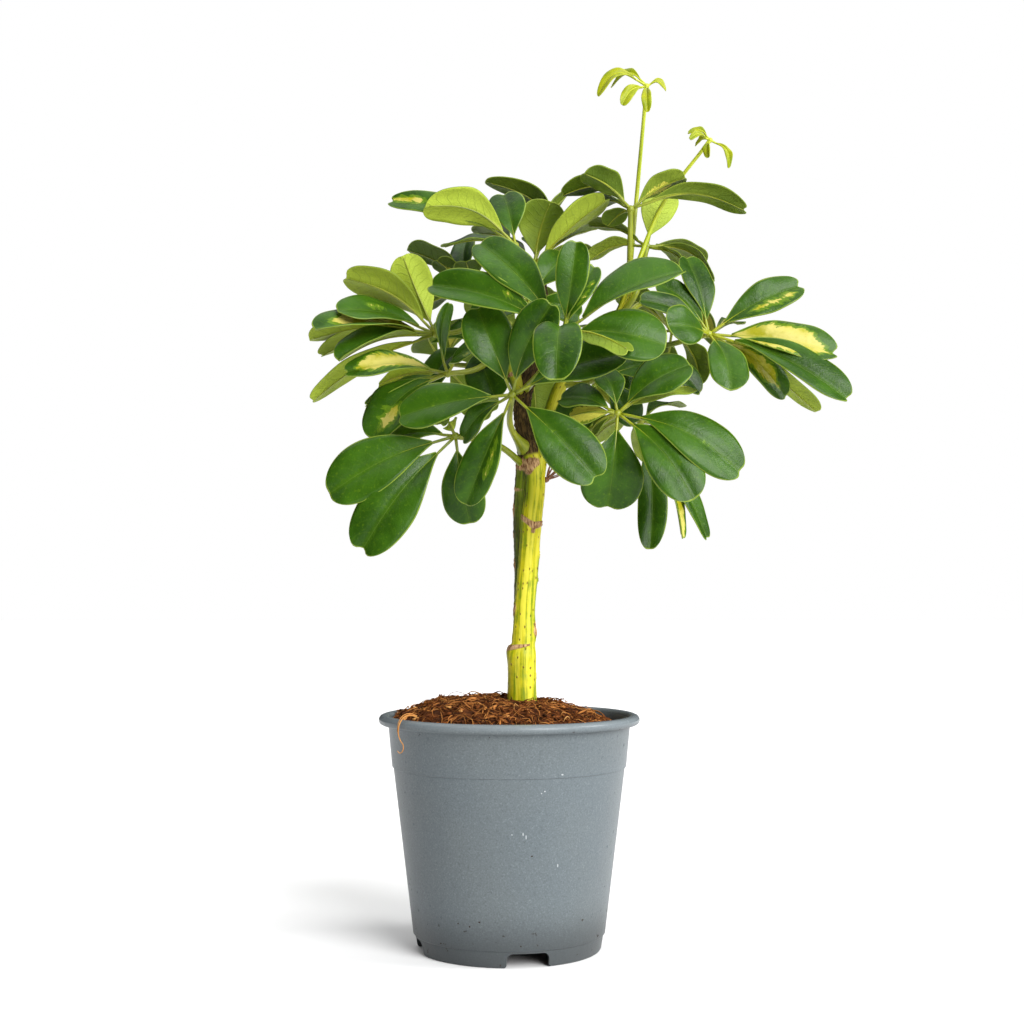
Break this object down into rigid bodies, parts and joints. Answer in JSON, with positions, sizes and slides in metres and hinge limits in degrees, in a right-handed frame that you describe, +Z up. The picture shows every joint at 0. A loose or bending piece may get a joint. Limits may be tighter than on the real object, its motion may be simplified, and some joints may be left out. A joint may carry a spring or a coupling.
{
  "type": "potted umbrella plant",
  "caption": "Potted umbrella plant: a forked woody stem with a rounded crown of glossy, light-edged compound leaves, in a tapered nursery pot filled with coir.",
  "frame": {"origin": "on the ground, under the middle of the whole plant's bounding box", "axes": "+Z up along the stem, -Y towards the viewer of the picture, +X to the viewer's right"},
  "size_m": [0.268, 0.2074, 0.4501],
  "materials": {
    "pot_plastic": "satin, finely mottled grey-blue nursery plastic",
    "coir": "rough brown coir and peat with loose fibres",
    "stem_bark": "yellow-green young bark with darker stripes and brown scars",
    "dry_stalk": "dry reddish brown",
    "leaf_green": "glossy dark green above, matt yellow-green below, thin light margin",
    "leaf_variegated": "glossy dark green splashed with yellow and cream",
    "leaf_young": "soft yellow-green"
  },
  "bodies": {
    "root": {"pot": "pot_plastic", "soil": "coir", "trunk": "stem_bark", "dry_stalks": "dry_stalk", "leaf_front": "leaf_green", "leaf_upper_front": "leaf_green", "leaf_left_low": "leaf_green", "leaf_left_middle": "leaf_variegated", "leaf_left_upper": "leaf_green", "leaf_back_left_top": "leaf_green", "leaf_top_left": "leaf_green", "leaf_top_centre": "leaf_green", "leaf_top_right": "leaf_green", "leaf_right_top": "leaf_green", "leaf_right": "leaf_variegated", "leaf_right_low": "leaf_green", "leaf_right_under": "leaf_green", "leaf_inner_left": "leaf_green", "leaf_inner_right": "leaf_green", "leaf_inner_centre": "leaf_green", "leaf_inner_low": "leaf_green", "leaf_back_left": "leaf_green", "leaf_back_centre": "leaf_green", "leaf_back_right": "leaf_green", "young_leaf_tall": "leaf_young", "young_leaf_short": "leaf_young"}
  },
  "joints": []
}
